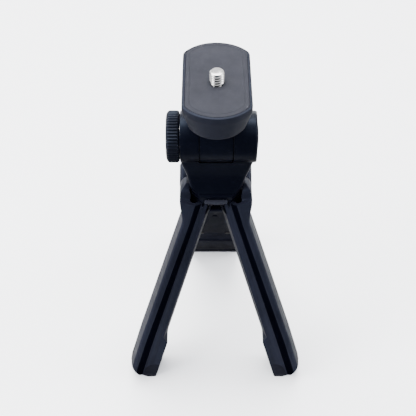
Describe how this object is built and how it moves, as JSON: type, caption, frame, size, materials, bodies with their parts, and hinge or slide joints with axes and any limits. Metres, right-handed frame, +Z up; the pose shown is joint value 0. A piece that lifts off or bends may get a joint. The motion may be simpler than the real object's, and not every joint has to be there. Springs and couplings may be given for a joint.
{
  "type": "tabletop tripod",
  "caption": "Folding tabletop tripod whose legs close into a handle, with a tilting camera plate, a threaded camera stud and a ridged lock knob.",
  "frame": {"origin": "on the ground, at the middle of the bounding box of the opened tripod", "axes": "+Z up, along the camera stud; -Y to the front, the side of the two front legs; +X to the right of someone facing the front"},
  "size_m": [0.0932, 0.1046, 0.1732],
  "materials": {
    "black_body": "fine satin grain",
    "black_leg": "satin",
    "leg_core": "satin",
    "knob_plastic": "satin",
    "pad_rubber": "matte",
    "foot_rubber": "matte",
    "steel": "satin",
    "dark_steel": "black oxide",
    "stud_steel": "polished",
    "friction_plastic": "satin",
    "brass": "satin"
  },
  "bodies": {
    "hub": {"yoke": "black_body", "end_cap": "black_body", "clamp_bolt": "steel", "friction_washers": "friction_plastic", "knob_washer": "steel", "hub": "black_body", "pin_cover": "black_body", "hub_bolt": "steel", "hub_insert": "brass", "hinge_washers": "friction_plastic", "leg_left_pin": "steel", "leg_right_pin": "steel", "leg_rear_pin": "steel"},
    "head": {"plate_pad": "pad_rubber", "plate_shell": "black_body", "plate_base": "black_body", "base_screws": "steel"},
    "screw": {"camera_screw": "stud_steel", "screw_dial": "knob_plastic", "dial_ring": "steel"},
    "knob": {"knob": "knob_plastic", "knob_cap": "knob_plastic", "knob_nut": "brass"},
    "leg_left": {"leg_left_shell": "black_leg", "leg_left_core": "leg_core", "leg_left_foot": "foot_rubber", "leg_left_screws": "dark_steel"},
    "leg_right": {"leg_right_shell": "black_leg", "leg_right_core": "leg_core", "leg_right_foot": "foot_rubber", "leg_right_screws": "dark_steel"},
    "leg_rear": {"leg_rear_shell": "black_leg", "leg_rear_core": "leg_core", "leg_rear_foot": "foot_rubber", "leg_rear_screws": "dark_steel"}
  },
  "joints": [
    {"name": "head_tilt", "type": "hinge", "parent": "hub", "child": "head", "pos_m": [0, -0.00426, 0.136], "axis": [1, 0, 0], "range_deg": [-90, 90]},
    {"name": "camera_screw_turn", "type": "hinge", "parent": "head", "child": "screw", "pos_m": [0, -0.00426, 0.16], "axis": [0, 0, 1], "continuous": true},
    {"name": "knob_turn", "type": "hinge", "parent": "hub", "child": "knob", "pos_m": [-0.019, -0.00426, 0.136], "axis": [-1, 0, 0], "range_deg": [0, 270]},
    {"name": "leg_left_fold", "type": "hinge", "parent": "hub", "child": "leg_left", "pos_m": [-0.007, -0.01126, 0.1035], "axis": [0.7071, -0.7071, 0], "range_deg": [0, 23.6]},
    {"name": "leg_right_fold", "type": "hinge", "parent": "hub", "child": "leg_right", "pos_m": [0.007, -0.01126, 0.1035], "axis": [0.7071, 0.7071, 0], "range_deg": [0, 23.6]},
    {"name": "leg_rear_fold", "type": "hinge", "parent": "hub", "child": "leg_rear", "pos_m": [0, 0.00334, 0.1035], "axis": [-1, 0, 0], "range_deg": [0, 22.6]}
  ]
}
